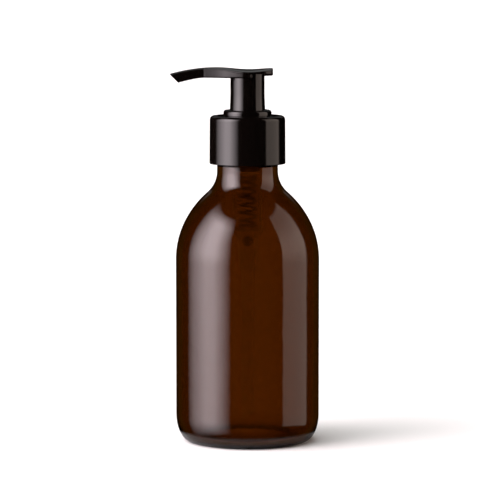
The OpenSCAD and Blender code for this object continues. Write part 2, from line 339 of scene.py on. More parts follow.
def bored(piece: bpy.types.Object, cutters: Sequence[bpy.types.Object]) -> bpy.types.Object:
    """Cuts cutters out of a piece and throws them away.

    Args:
        piece: a closed piece.
        cutters: closed pieces to take out of it.

    Returns:
        The piece.
    """
    for cutter in cutters:
        cut = piece.modifiers.new("cut", "BOOLEAN")
        cut.operation, cut.solver, cut.object = "DIFFERENCE", "EXACT", cutter
        shape = piece.evaluated_get(bpy.context.evaluated_depsgraph_get())
        mesh = bpy.data.meshes.new_from_object(shape)
        piece.modifiers.clear()
        piece.data = mesh
        bpy.data.objects.remove(cutter)
    close_up(piece.data, 0.75 * SHARP)
    return piece


def block(centre: Point, size: Point, turn: float) -> bpy.types.Object:
    """A box for cutting, turned about the Z axis.

    Args:
        centre: its middle before it is turned.
        size: its length along each axis.
        turn: the turn in degrees.

    Returns:
        The box.
    """
    half = np.asarray(size) / 2
    corners = np.array([(-1, -1), (1, -1), (1, 1), (-1, 1)]) * half[:2] + np.asarray(centre)[:2]
    a = math.radians(turn)
    corners = corners @ np.array([[math.cos(a), math.sin(a)], [-math.sin(a), math.cos(a)]])
    middle = np.repeat(corners.mean(axis=0)[None], 4, axis=0)
    low, high = centre[2] - half[2], centre[2] + half[2]
    rings = ((middle, low), (corners, low), (corners, high), (middle, high))
    return skin("cutter", np.stack([np.column_stack([ring, np.full(4, z)]) for ring, z in rings]))


def settle(piece: bpy.types.Object, body: Body, slot: Slot, node: str) -> None:
    """Gives a new piece its finish, puts it on its body and lets it stand for its CAD node.

    Args:
        piece: the new object.
        body: the body it rides on.
        slot: the record's slot its finish comes from.
        node: the CAD node it stands for.
    """
    piece.data.materials.clear()
    piece.data.materials.append(finish(slot))
    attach(piece, body.value)
    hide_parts(node)
    log.info("%s: %d faces on %s, in %s", piece.name, len(piece.data.polygons), body.value, slot.value)


@dataclass(frozen=True)
class ScrewThread:
    """A single-start right-hand screw ridge: at turn a its middle is at start + pitch a / 360 degrees."""

    start: float
    height: float
    pitch: float = 0.00423
    turns: float = 1.5
    root: float = 0.0029
    crest: float = 0.001
    fades_per_turn: float = 12.0

    def rise(self, turn: Array, z: Array) -> Array:
        """How far the ridge stands up at each point.

        Across the ridge it is flat over the crest and eases to nothing at the root. Along it, the height
        grows from nothing over the first twelfth of a turn and fades in the same way at the end.

        Args:
            turn: the angle of each point, in radians.
            z: the height of each point.

        Returns:
            The rise, from 0 to the ridge's height.
        """
        best = np.zeros(np.broadcast(turn, z).shape)
        for lap in range(math.ceil(self.turns)):
            along = turn / TAU + lap
            off = np.abs(z - self.start - self.pitch * along)
            across = smooth((self.root / 2 - off) / (self.root / 2 - self.crest / 2))
            ends = smooth(np.minimum(along, self.turns - along) * self.fades_per_turn)
            best = np.maximum(best, self.height * across * ends)
        return best


# ---------------------------------------------------------------- shader nodes and shared effects


class Wiring:
    """Adds and links nodes in one node tree. An input takes a plain value, or a (node, output) pair."""

    def __init__(self, tree: bpy.types.NodeTree) -> None:
        """Works on this tree."""
        self.tree = tree

    def fill(self, node: bpy.types.Node, values: dict[object, object]) -> bpy.types.Node:
        """Fills a node's inputs.

        Args:
            node: the node.
            values: what each input takes, by its number or by its name with _ for a space.

        Returns:
            The node.
        """
        for label, value in values.items():
            socket = node.inputs[label.replace("_", " ") if isinstance(label, str) else label]
            if isinstance(value, tuple) and isinstance(value[0], bpy.types.Node):
                self.tree.links.new(value[0].outputs[value[1]], socket)
            else:
                socket.default_value = value
        return node

    def add(self, kind: str, **values: object) -> bpy.types.Node:
        """Adds a node of this kind and fills its inputs by name."""
        return self.fill(self.tree.nodes.new(kind), values)

    def math(self, operation: str, *terms: object, clamp: bool = False, vector: bool = False) -> Source:
        """Adds a Math or Vector Math node.

        Args:
            operation: its operation.
            terms: what its inputs take, in order.
            clamp: whether the result is kept from 0 to 1.
            vector: whether it is a Vector Math node.

        Returns:
            Its result.
        """
        node = self.tree.nodes.new("ShaderNodeVectorMath" if vector else "ShaderNodeMath")
        node.operation = operation
        if clamp:
            node.use_clamp = True
        self.fill(node, dict(enumerate(terms)))
        return node, "Value" if operation == "LENGTH" or not vector else "Vector"

    def ramp(self, source: Source, start: float, end: float, low: float = 0.0, high: float = 1.0) -> Source:
        """Adds a Map Range node, kept within its ends.

        Args:
            source: what it reads.
            start: where the result is low.
            end: where the result is high.
            low: the result up to the start.
            high: the result from the end on.

        Returns:
            Its result.
        """
        if start > end:
            start, end, low, high = end, start, high, low
        node = self.add("ShaderNodeMapRange", Value=source, From_Min=start, From_Max=end)
        return self.fill(node, {"To_Min": low, "To_Max": high}), "Result"

    def mixed(self, share: Source, first: Source, second: Source) -> Source:
        """Mixes two shaders: all of the first at share 0, all of the second at 1."""
        node = self.tree.nodes.new("ShaderNodeMixShader")
        return self.fill(node, {0: share, 1: first, 2: second}), "Shader"

    def placed(self, effect: bpy.types.ShaderNodeTree, output: str, **values: float) -> Source:
        """Places a shared effect with its own values.

        Args:
            effect: the node group.
            output: the output that is wanted.
            values: what its inputs take, by name.

        Returns:
            The output.
        """
        node = self.tree.nodes.new("ShaderNodeGroup")
        node.node_tree = effect
        return self.fill(node, values), output


def new_effect(name: str, output: str, **inputs: float) -> tuple[Wiring, Source, bpy.types.Node]:
    """Starts a shader node group with number inputs and one number output.

    Args:
        name: the group's name.
        output: its output's name.
        inputs: its inputs' first values, by name with _ for a space.

    Returns:
        The group's wiring, its Object coordinates and its input node.
    """
    tree = bpy.data.node_groups.new(name, "ShaderNodeTree")
    for label, value in inputs.items():
        label = label.replace("_", " ")
        socket = tree.interface.new_socket(label, in_out="INPUT", socket_type="NodeSocketFloat")
        socket.default_value = value
    tree.interface.new_socket(output, in_out="OUTPUT", socket_type="NodeSocketFloat")
    wiring = Wiring(tree)
    return wiring, (wiring.add("ShaderNodeTexCoord"), "Object"), wiring.add("NodeGroupInput")


@cache
def soft_mottle() -> bpy.types.ShaderNodeTree:
    """A shared effect, made once: soft patches from 0 to 1, as broad noise spread about a half.

    Returns:
        The node group.
    """
    wiring, coords, given = new_effect("soft_mottle", "Mask", Patches_per_metre=60.0, Contrast=1.0)
    scale = (given, "Patches per metre")
    noise = wiring.add("ShaderNodeTexNoise", Vector=coords, Scale=scale, Detail=3.0, Roughness=0.55)
    centred = wiring.math("SUBTRACT", (noise, "Fac"), 0.5)
    spread = wiring.math("MULTIPLY", centred, (given, "Contrast"))
    wiring.add("NodeGroupOutput", Mask=wiring.math("ADD", spread, 0.5, clamp=True))
    return wiring.tree


@cache
def mould_grain() -> bpy.types.ShaderNodeTree:
    """A shared effect, made once: a grain as a height, in two layers, one ten times as fine as the other.

    Returns:
        The node group.
    """
    wiring, coords, given = new_effect("mould_grain", "Height", Grains_per_metre=900.0, Fine_share=0.3)
    scale = (given, "Grains per metre")
    coarse = wiring.add("ShaderNodeTexNoise", Vector=coords, Scale=scale, Detail=2.0, Roughness=0.5)
    scale = wiring.math("MULTIPLY", scale, 10.0)
    fine = wiring.add("ShaderNodeTexNoise", Vector=coords, Scale=scale, Detail=1.0, Roughness=0.5)
    part = wiring.math("MULTIPLY", (fine, "Fac"), (given, "Fine share"))
    wiring.add("NodeGroupOutput", Height=wiring.math("ADD", (coarse, "Fac"), part))
    return wiring.tree


@cache
def fine_specks() -> bpy.types.ShaderNodeTree:
    """A shared effect, made once: small specks, 1 near the middle of each cell of a pattern and 0 elsewhere.

    Returns:
        The node group.
    """
    wiring, coords, given = new_effect("fine_specks", "Mask", Cells_per_metre=400.0, Size=0.12)
    cells = wiring.add("ShaderNodeTexVoronoi", Vector=coords, Scale=(given, "Cells per metre"))
    wiring.add("NodeGroupOutput", Mask=wiring.math("LESS_THAN", (cells, "Distance"), (given, "Size")))
    return wiring.tree


# ---------------------------------------------------------------- finishes


class Finish:
    """A material in the making: one Principled shader and what varies over its surface."""

    def __init__(self, name: str) -> None:
        """Starts the material with this name."""
        self.material = bpy.data.materials.new(name)
        self.material.use_nodes = True
        self.material.node_tree.nodes.clear()
        self.wiring = Wiring(self.material.node_tree)
        self.shader = self.wiring.add("ShaderNodeBsdfPrincipled")
        self.output = self.wiring.add("ShaderNodeOutputMaterial", Surface=(self.shader, "BSDF"))

    def give(self, **values: object) -> None:
        """Fills inputs of the shader by name."""
        self.wiring.fill(self.shader, values)

    def patches(self, per_metre: float, contrast: float) -> Source:
        """Places the soft mottle."""
        return self.wiring.placed(soft_mottle(), "Mask", Patches_per_metre=per_metre, Contrast=contrast)

    def grain(self, per_metre: float, fine: float) -> Source:
        """Places the grain."""
        return self.wiring.placed(mould_grain(), "Height", Grains_per_metre=per_metre, Fine_share=fine)

    def tint(self, mask: Source, low: Colour, high: Colour) -> None:
        """Colours the surface.

        Args:
            mask: what drives the colour.
            low: the colour where the mask is 0.
            high: the colour where it is 1.
        """
        ramp = self.wiring.add("ShaderNodeValToRGB", Fac=mask)
        for element, colour in zip(ramp.color_ramp.elements, (low, high)):
            element.color = (*colour, 1.0)
        self.give(Base_Color=(ramp, "Color"))

    def shine(self, mask: Source, low: float, high: float) -> None:
        """Sets the roughness, from low where the mask is 0 to high where it is 1."""
        self.give(Roughness=self.wiring.ramp(mask, 0.0, 1.0, low, high))

    def relief(self, height: Source, distance: float, strength: float, sunken: bool = False) -> None:
        """Gives the surface a fine relief.

        Args:
            height: what it follows.
            distance: how high it is where the height is 1.
            strength: how strongly it shows.
            sunken: whether the height goes inwards.
        """
        bump = self.wiring.add("ShaderNodeBump", Height=height, Distance=distance, Strength=strength)
        bump.invert = sunken
        self.give(Normal=(bump, "Normal"))


@dataclass(frozen=True)
class AmberGlass:
    """Brown mould-blown glass: tinted where light crosses its surface and by its depth, a little wavy."""

    name: str = Slot.GLASS.value
    tint_low: Colour = (0.715, 0.41, 0.31)
    tint_high: Colour = (0.75, 0.435, 0.33)
    tints_per_metre: float = 25.0
    depth_colour: Colour = (0.60, 0.50, 0.02)
    depth_density: float = 1254.0
    ior: float = 1.53
    shine: tuple[float, float] = (0.0, 0.035)
    hazes_per_metre: float = 140.0
    waves_per_metre: float = 55.0
    wave_depth: float = 0.0006

    def make(self) -> bpy.types.Material:
        """Builds the material.

        Returns:
            The material.
        """
        glass = Finish(self.name)
        glass.tint(glass.patches(self.tints_per_metre, 1.4), self.tint_low, self.tint_high)
        glass.shine(glass.patches(self.hazes_per_metre, 1.0), *self.shine)
        glass.relief(glass.grain(self.waves_per_metre, 0.03), self.wave_depth, 0.25)
        glass.give(Transmission_Weight=1.0, IOR=self.ior)
        absorb = glass.wiring.add(
            "ShaderNodeVolumeAbsorption", Density=self.depth_density, Color=(*self.depth_colour, 1.0)
        )
        glass.wiring.fill(glass.output, {"Volume": (absorb, "Volume")})
        return glass.material


@dataclass(frozen=True)
class MouldedPlastic:
    """A moulded plastic: two close colours in soft patches, fine grain, and a shine that varies a little."""

    name: str
    dark: Colour
    light: Colour
    shine: tuple[float, float]
    translucent: float = 0.0
    ior: float = 1.49
    patches_per_metre: float = 80.0
    wear_per_metre: float = 260.0
    grain_per_metre: float = 900.0
    grain_depth: float = 0.00002

    def make(self) -> bpy.types.Material:
        """Builds the material.

        Returns:
            The material.
        """
        plastic = Finish(self.name)
        plastic.tint(plastic.patches(self.patches_per_metre, 1.5), self.dark, self.light)
        plastic.shine(plastic.patches(self.wear_per_metre, 1.6), *self.shine)
        plastic.relief(plastic.grain(self.grain_per_metre, 0.35), self.grain_depth, 0.3)
        plastic.give(IOR=self.ior, Transmission_Weight=self.translucent)
        return plastic.material


@dataclass(frozen=True)
class Steel:
    """Bare steel: a metal with soft patches of shine and fine drawn or polished marks."""

    name: str
    colour: Colour
    shine: tuple[float, float]
    dull_share: float = 0.85
    patches_per_metre: float = 900.0
    marks_per_metre: float = 5000.0
    mark_depth: float = 0.000005

    def make(self) -> bpy.types.Material:
        """Builds the material.

        Returns:
            The material.
        """
        steel = Finish(self.name)
        patches = steel.patches(self.patches_per_metre, 1.5)
        steel.tint(patches, tuple(self.dull_share * c for c in self.colour), self.colour)
        steel.shine(patches, *self.shine)
        steel.relief(steel.grain(self.marks_per_metre, 0.2), self.mark_depth, 0.3)
        steel.give(Metallic=1.0)
        return steel.material


@dataclass(frozen=True)
class Foam:
    """A closed-cell foam: pale, matt, with small sunken cells that are darkened as painted shade."""

    name: str = Slot.FOAM.value
    colour: Colour = (0.8, 0.79, 0.75)
    # The share of the foam's colour left in the cells: painted shade in the pits.
    cell_shade_share: float = 0.7
    cells_per_metre: float = 2500.0
    cell_size: float = 0.35
    cell_depth: float = 0.0001

    def make(self) -> bpy.types.Material:
        """Builds the material.

        Returns:
            The material.
        """
        foam = Finish(self.name)
        cells = foam.wiring.placed(
            fine_specks(), "Mask", Cells_per_metre=self.cells_per_metre, Size=self.cell_size
        )
        # The cells get a darker colour as well as a sunken relief: painted shade in the pits.
        foam.tint(cells, self.colour, tuple(self.cell_shade_share * c for c in self.colour))
        foam.relief(cells, self.cell_depth, 0.4, sunken=True)
        foam.give(Roughness=0.85)
        return foam.material


FINISHES = (
    AmberGlass(),
    MouldedPlastic(Slot.BLACK.value, (0.0016, 0.001, 0.0008), (0.0021, 0.0013, 0.0011), (0.07, 0.13)),
    MouldedPlastic(
        Slot.NATURAL.value, (0.95, 0.95, 0.93), (0.98, 0.98, 0.96), (0.16, 0.26), translucent=0.98, ior=1.06
    ),
    MouldedPlastic(
        Slot.TUBE.value, (0.96, 0.96, 0.94), (0.99, 0.99, 0.97), (0.1, 0.2), translucent=0.985, ior=1.06
    ),
    MouldedPlastic(Slot.SOFT.value, (0.78, 0.77, 0.72), (0.84, 0.83, 0.78), (0.38, 0.5), translucent=0.1),
    Foam(),
    Steel(Slot.WIRE.value, (0.62, 0.63, 0.65), (0.18, 0.3)),
    Steel(Slot.BALL.value, (0.7, 0.7, 0.72), (0.05, 0.12), marks_per_metre=9000.0),
)


@cache
def finish(slot: Slot) -> bpy.types.Material:
    """The material of a slot, made when it is first asked for."""
    return next(look for look in FINISHES if look.name == slot.value).make()


# ---------------------------------------------------------------- the glass


@dataclass
class Bottle:
    """The glass: a round body, a shoulder of two arcs, a beaded and threaded neck, and a pushed-up base."""

    wall: float = 0.0022
    floor: float = 0.0026
    push_up: float = 0.003
    ring_r: float = 0.018
    heel_w: float = 0.006
    heel_h: float = 0.0117
    inner_heel_less: tuple[float, float] = (0.0014, 0.0024)
    shoulder_z: float = 0.0785
    arc_r: tuple[float, float] = (0.0365, 0.0408)
    arc_end: tuple[float, float] = (27.1, 47.5)
    fillet_r: float = 0.0119
    neck_r: float = 0.01305
    bead_r: float = 0.0136
    bead_drop: float = 0.0148
    bead_tall: float = 0.0024
    finish_r: float = 0.0126
    lip_r: float = 0.0008
    mouth_round: float = 0.0006
    thread_drop: float = 0.0082
    thread_height: float = 0.0011
    thread_room: float = 0.0118
    step: float = 0.0003
    sides: int = 288

    def __post_init__(self) -> None:
        """Takes the body's radius and height from the frame."""
        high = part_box("bottle")[1]
        self.radius = high.x
        self.top = high.z
        self.thread = ScrewThread(self.top - self.thread_drop, self.thread_height)

    def shoulder(self, inset: float) -> Array:
        """The shoulder's outline from the body to the neck, set in by the given distance.

        Two arcs that share a tangent turn inwards. A straight runs on to a hollow arc, which turns up into
        the neck.

        Args:
            inset: how far inside the outer surface the outline runs.

        Returns:
            (radius, height) points, going up.
        """
        r1, r2 = self.arc_r
        a1, a2 = self.arc_end
        aim1, aim2 = (np.array([math.cos(a), math.sin(a)]) for a in np.radians(self.arc_end))
        c1 = np.array([self.radius - r1, self.shoulder_z])
        c2 = c1 + (r1 - r2) * aim1
        end = c2 + r2 * aim2
        run_in = end[0] - self.neck_r - self.fillet_r * (1 - aim2[0])
        c3 = (self.neck_r + self.fillet_r, end[1] + run_in * aim2[0] / aim2[1] + self.fillet_r * aim2[1])
        hollow_r = self.fillet_r + inset
        return np.concatenate([
            arc(c1, r1 - inset, r1 - inset, 0, a1, 20),
            arc(c2, r2 - inset, r2 - inset, a1, a2, 16),
            arc(c3, hollow_r, hollow_r, 180 + a2, 180, 16),
        ])

    def dome(self, r: float, rise: float, z: float) -> Array:
        """A shallow dome from the axis down to radius r: an arc of radius (r^2 + rise^2) / 2 rise.

        Args:
            r: the dome's own radius in plan.
            rise: how high its middle stands.
            z: the height of its edge.

        Returns:
            (radius, height) points, going out.
        """
        big = (r * r + rise * rise) / (2 * rise)
        return arc((0, z + rise - big), big, big, 90, 90 - math.degrees(math.asin(r / big)), 14)

    def outer(self) -> Array:
        """The outside: dome, foot ring, heel, shoulder, neck with its bead, threaded finish and lip.

        Returns:
            (radius, height) points from the middle of the base up to the lip.
        """
        bead = self.top - self.bead_drop
        over = bead + self.bead_tall
        steps = 5
        neck = rounded([
            (self.neck_r, bead - 0.0030, 0.0), (self.neck_r, bead - 0.0018, 0.0012),
            (self.bead_r, bead, 0.0008), (self.bead_r, over, 0.0006),
            (self.finish_r, over + 0.0008, 0.0005), (self.finish_r, self.top, 0.0),
        ], steps)[steps + 1 : -steps - 1]
        lip_z = self.top - self.lip_r
        return np.concatenate([
            self.dome(self.ring_r - 0.0006, self.push_up, 0.0003),
            arc((self.ring_r + 0.0002, 0.0004), 0.0005, 0.0004, 215, 270, 4),
            arc((self.radius - self.heel_w, self.heel_h), self.heel_w, self.heel_h, -90, 0, 30),
            self.shoulder(0.0),
            finer(neck, self.step),
            finer(np.array([[self.finish_r, over + 0.001], [self.finish_r, lip_z]]), self.step),
            arc((self.finish_r - self.lip_r, lip_z), self.lip_r, self.lip_r, 0, 90, 6),
        ])

    def inner(self) -> Array:
        """The inside: floor, heel, shoulder and bore.

        Returns:
            (radius, height) points from the middle of the floor up to the mouth.
        """
        r = self.radius - self.wall
        heel_w, heel_h = self.heel_w - self.inner_heel_less[0], self.heel_h - self.inner_heel_less[1]
        bore, edge = self.neck_r - self.wall, self.mouth_round
        return np.concatenate([
            self.dome(r - heel_w, self.push_up - 0.0008, self.floor),
            arc((r - heel_w, self.floor + heel_h), heel_w, heel_h, -90, 0, 20),
            self.shoulder(self.wall),
            [(bore, self.top - edge)],
            arc((bore + edge, self.top - edge), edge, edge, 180, 90, 5),
        ])

    def bulge(self, turn: Array, place: Array) -> Array:
        """The screw thread on the outside of the neck.

        Args:
            turn: the angle of each point.
            place: its (radius, height).

        Returns:
            What is added to its radius.
        """
        r, z = place[..., 0], place[..., 1]
        on_neck = (z > self.top - self.thread_room) & (r > self.finish_r - 0.0002)
        return np.where(on_neck, self.thread.rise(turn, z), 0.0)

    def build(self) -> None:
        """Makes the bottle."""
        outline = np.concatenate([self.outer(), self.inner()[::-1]])
        piece = spun("glass_bottle", outline, closed=False, sides=self.sides, bulge=self.bulge)
        settle(piece, Body.GLASS, Slot.GLASS, "bottle")


# ---------------------------------------------------------------- the closure


@dataclass
class Closure:
    """The screw collar, and the lock ring that stands up through it."""

    bore_r: float = 0.0141
    hole_r: float = 0.0106
    top_thick: float = 0.00159
    rim_edge: float = 0.0003
    top_round: float = 0.0026
    top_taper: float = 0.00013
    top_flat: float = 0.0036
    crown: float = 0.00035
    thread_height: float = 0.00115
    step: float = 0.0004
    boss_r: float = 0.0103
    boss_bore: float = 0.00795
    boss_edge: float = 0.0012
    flange_drop: float = 0.00164
    flange_thick: float = 0.0012
    sleeve_r: float = 0.00897
    sleeve_floor: float = 0.0013
    stem_hole: float = 0.00435

    def collar(self) -> None:
        """Makes the collar: a tapered shell with a crowned top, a round top edge and a thread inside."""
        low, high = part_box("collar")
        r, z0, z1 = high.x, low.z, high.z
        inside, crown = z1 - self.top_thick, z1 - self.crown
        shell = rounded([
            (self.bore_r, z0, self.rim_edge), (r, z0, self.rim_edge),
            (r - self.top_taper, crown, self.top_round), (r - self.top_flat, crown, 0.004),
            (self.hole_r, z1, 0.0002), (self.hole_r, inside, 0.0001), (self.bore_r, inside, 0.0008),
        ], 10)
        shell = finer(np.concatenate([shell, shell[:1]]), self.step)[:-1]
        bottle = Bottle()
        start = bottle.top - bottle.thread_drop - ScrewThread.pitch / 2
        thread = ScrewThread(start, self.thread_height)

        def ridge(turn: Array, place: Array) -> Array:
            """The thread stands inwards from the inner wall."""
            inner_wall = np.abs(place[..., 0] - self.bore_r) < 0.00002
            return np.where(inner_wall, -thread.rise(turn, place[..., 1]), 0.0)

        piece = spun("screw_collar", shell, sides=192, bulge=ridge)
        settle(piece, Body.CLOSURE, Slot.BLACK, "collar")

    def ring(self) -> None:
        """Makes the lock ring: a round-edged boss, a flange under the collar and a sleeve with a floor."""
        low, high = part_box("lock_ring")
        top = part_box("collar")[1].z - self.flange_drop
        under, floor = top - self.flange_thick, low.z + self.sleeve_floor
        piece = spun("guide_ring", rounded([
            (self.stem_hole, low.z, 0.0001), (self.sleeve_r, low.z, 0.0005), (self.sleeve_r, under, 0.0),
            (high.x, under, 0.0001), (high.x, top, 0.0001), (self.boss_r, top, 0.0),
            (self.boss_r, high.z, self.boss_edge), (self.boss_bore, high.z, 0.0005),
            (self.boss_bore, floor, 0.0002), (self.stem_hole, floor, 0.0001),
        ], 8))
        settle(piece, Body.CORE, Slot.BLACK, "lock_ring")


# ---------------------------------------------------------------- the head


def quarter(steps: int) -> list[tuple[float, float]]:
    """A round edge of unit size: (1 - sin a, 1 - cos a), with a from 0 to 90 degrees in this many steps."""
    angles = np.radians(np.linspace(0, 90, steps + 1))
    return [(1 - math.sin(a), 1 - math.cos(a)) for a in angles]


@dataclass
class Head:
    """The head: a skirt, a thumb pad with a shallow saddle, and a curved spout with a duct in its tip.

    The pad and spout are one skin of rings across the X axis. A ring starts at x_top on its upper line and
    ends at x_low on its lower line, so that the rings lean with the slanted tip. At height share f, from 0 at
    its top to 1 at its bottom, a ring's points lie at x_top + f (x_low - x_top).
    """

    reach: float = 0.0005
    rise: float = 0.00055
    lip_back: float = 0.0038
    lip_drop: float = 0.0021
    tip_drop: float = 0.0029
    crest_x: float = -0.0132
    saddle_x: float = 0.0005
    saddle_drop: float = 0.00086
    back_drop: float = 0.0004
    slant_end: float = -0.018
    spout_height: float = 0.00453
    tip_half: float = 0.0035
    side_half: float = 0.0097
    pad_half: float = 0.0100
    back_half: float = 0.0050
    side_lean: float = 0.02
    flare_slope: tuple[tuple[float, float], ...] = (
        (-0.0193, 0.0), (-0.0187, 0.30), (-0.0138, 0.344), (-0.0095, 0.435), (-0.0052, 0.364),
        (-0.0022, 0.30), (-0.0006, 0.0),
    )
    duct_half: float = 0.0022
    duct_rise: float = 0.0010
    duct_deep: float = 0.026
    edge: float = 0.0003
    skirt_low_r: float = 0.0076
    skirt_r: float = 0.00731
    skirt_bore: float = 0.00635
    skirt_top_drop: float = 0.0022
    skirt_edge: float = 0.00025
    socket_r: float = 0.00403
    socket_wall: float = 0.0012
    socket_deep: float = 0.006
    steps: int = 5

    def __post_init__(self) -> None:
        """Takes the head's ends from the frame and lays out its lines."""
        low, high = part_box("pump_head")
        self.tip_x, self.back_x, self.top, self.low = low.x - self.reach, high.x, high.z + self.rise, low.z
        self.spout_z = self.top - self.spout_height
        self.lay_out_heights()
        self.lay_out_widths()

    def lay_out_heights(self) -> None:
        """Draws the three lines seen from the side: the top, the underside and the pad's lower edge."""
        top, tip, back, under = self.top, self.tip_x, self.back_x, self.spout_z
        crest, dip, end = (self.crest_x, top), top - self.saddle_drop, top - self.back_drop
        saddle = (self.saddle_x, dip)
        self.upper = by_x(
            cubic((tip, top - self.tip_drop), (-0.027, top - 0.00105), (-0.020, top), crest),
            cubic(crest, (-0.008, top), (-0.0045, dip), saddle)[1:],
            cubic(saddle, (0.005, dip), (0.0065, end), (back, end))[1:],
        )
        lip = (tip + self.lip_back, under - self.lip_drop)
        self.lower = by_x(
            cubic(lip, (-0.0255, under - 0.0011), (-0.0215, under), (self.slant_end, under)),
            cubic((0.0052, under), (0.006, under), (0.0062, top - 0.0041), (0.0068, top - 0.0039)),
            [(back, top - 0.0037)],
        )
        self.under = by_x(
            [(-0.030, top - 0.0035), (-0.0215, top - 0.0021), (-0.0165, top - 0.0008)],
            cubic((-0.014, top - 0.00045), (-0.009, top - 0.0009), (-0.005, top - 0.0026),
                  (0.0, top - 0.0026)),
            [(0.0068, top - 0.0027), (back, top - 0.0030)],
        )

    def lay_out_widths(self) -> None:
        """Draws the two half-widths seen from above, the spout's side and the pad's, and places the rings.

        The spout's side ends in a return wall behind the saddle, which meets the skirt.
        """
        back, side, pad = self.back_x, self.side_half, self.pad_half
        skirt = self.skirt_r - 0.00006
        corner = self.saddle_x + 0.0009
        self.spout_side = by_x(
            self.flare(side),
            cubic((self.saddle_x, side), (corner, side), (corner, side - 0.0003),
                  (corner + 0.0001, side - 0.0012), 8)[1:],
            arc((0, 0), skirt, skirt, 76, 12, 21)[1:],
            [(back, 0.0014)],
        )
        round_back = cubic((self.saddle_x, pad), (back / 2, pad), (back - 0.0003, self.back_half + 0.002),
                           (back, self.back_half), 40)[1:]
        self.pad_side = by_x(self.flare(pad), round_back)
        behind = np.linspace(self.saddle_x, 0.0024, 20)[1:]
        fan = round_back[round_back[:, 0] > behind[-1] + 0.0001, 0][:-1]
        self.stations = np.concatenate([np.linspace(self.tip_x, self.saddle_x, 110), behind, fan])

    def flare(self, wide: float) -> Array:
        """Half-widths along the spout: even along the tip, then growing to the widest place over the axis.

        The slope runs straight between the places in flare_slope, and its sum is scaled to reach this width.

        Args:
            wide: the half-width at the axis.

        Returns:
            (x, half-width) points.
        """
        places, slopes = np.array(self.flare_slope).T
        x = np.linspace(places[0], places[-1], 120)
        slope = np.interp(x, places, slopes)
        share = np.concatenate([[0.0], np.cumsum((slope[1:] + slope[:-1]) / 2)])
        y = self.tip_half + (wide - self.tip_half) * share / share[-1]
        start, end = (self.tip_x - 0.001, self.tip_half), (self.saddle_x, wide)
        return np.concatenate([[start], np.stack([x, y], axis=1), [end]])

    def lean(self, x: float) -> float:
        """How far a ring's bottom lies behind its top: the tip's slant, fading to nothing by slant_end."""
        share = np.clip((self.slant_end - x) / (self.slant_end - self.tip_x), 0, 1)
        return self.lip_back * float(share)

    def ends(self, x: float) -> tuple[float, float]:
        """The heights of a ring's top and bottom."""
        return float(self.upper(x)), float(self.lower(x + self.lean(x)))

    def section(self, x: float) -> Array:
        """The outline across the head at x: a crowned top, the pad's edge, and the spout's sides under it.

        Args:
            x: where the ring's top is.

        Returns:
            (y, height) points, the same number for every x.
        """
        top, bottom = self.ends(x)
        side = float(self.spout_side(x))
        out = np.clip((x + 0.026) / 0.022, 0, 1)
        crown = 0.0006 + 0.0004 * out
        under = max(min(float(self.under(x)), top - crown - 0.0003), bottom + 0.00015)
        inner = side - self.side_lean * (under - bottom)
        pad = max(float(self.pad_side(x)) - self.side_lean * 0.5 * (top - bottom), inner + 0.00003)
        right = [
            (pad, top - crown, 0.001 - 0.0005 * out), (pad, under, 0.0003),
            (inner, under, 0.0004), (side, bottom + 0.00005, 0.0007),
        ]
        left = [(-y, z, r) for y, z, r in reversed(right)]
        return rounded([(0.0, top + 0.245 * crown, 0.05), *right, (0.0, bottom, 0.05), *left], self.steps)

    def ring(self, x: float, outline: Array, depth: float = 0.0, scale: float = 1.0) -> Array:
        """Places an outline as a leaning ring.

        Args:
            x: where the ring's top is.
            outline: (y, height) points.
            depth: how far the whole ring is moved along X.
            scale: how far it is drawn in towards its middle, as a share.

        Returns:
            The ring's points.
        """
        top, bottom = self.ends(x)
        middle = np.array([0.0, (top + bottom) / 2])
        y, z = ((outline - middle) * scale + middle).T
        share = (top - z) / (top - bottom)
        return np.stack([x + depth + share * self.lean(x), y, z], axis=1)

    def duct(self, x: float, grow: float = 0.0) -> Array:
        """The duct's outline at x, matched point for point with the outer one by the angle about the middle.

        Its shape is a soft rectangle: |y / a|^3 + |z / b|^3 = 1. A twentieth of each angle comes from even
        steps, so that no two points fall together.

        Args:
            x: where the ring's top is.
            grow: how far it is opened out.

        Returns:
            (y, height) points.
        """
        middle = sum(self.ends(x)) / 2
        outline = self.section(x)
        angle = np.unwrap(np.arctan2(outline[:, 1] - middle, outline[:, 0]))
        even = angle[0] - TAU * np.arange(len(angle)) / len(angle)
        angle = 0.95 * angle + 0.05 * even
        a, b = self.duct_half + grow, self.duct_rise + grow
        reach = (np.abs(np.cos(angle) / a) ** 3 + np.abs(np.sin(angle) / b) ** 3) ** (-1 / 3)
        return np.stack([reach * np.cos(angle), middle + reach * np.sin(angle)], axis=1)

    def skin_rings(self) -> Array:
        """All the rings, from the middle of the back edge to the tip, round its rim and down the duct.

        Returns:
            An array of rings by points of places.
        """
        e, back, tip = self.edge, self.back_x, self.tip_x
        rim, face = self.section(back), self.section(tip)
        rows = [self.ring(back, rim, 0.0, 0.0)]
        rows += [self.ring(back, rim, -2 * e * deep, 1 - 0.2 * far) for deep, far in quarter(5)[::-1]]
        rows += [self.ring(x, self.section(x)) for x in self.stations[::-1] if tip + e < x < back - 2 * e]
        rows += [self.ring(tip, face, e * deep, 1 - 0.04 * far) for deep, far in quarter(4)]
        rows += [self.ring(tip, self.duct(tip, e * deep), e * far) for deep, far in quarter(4)]
        rows += [self.ring(x, self.duct(x)) for x in np.linspace(tip + 0.001, tip + self.duct_deep, 40)]
        x = tip + self.duct_deep
        return np.stack([*rows, self.ring(x, self.duct(x), 0.0, 0.0)])

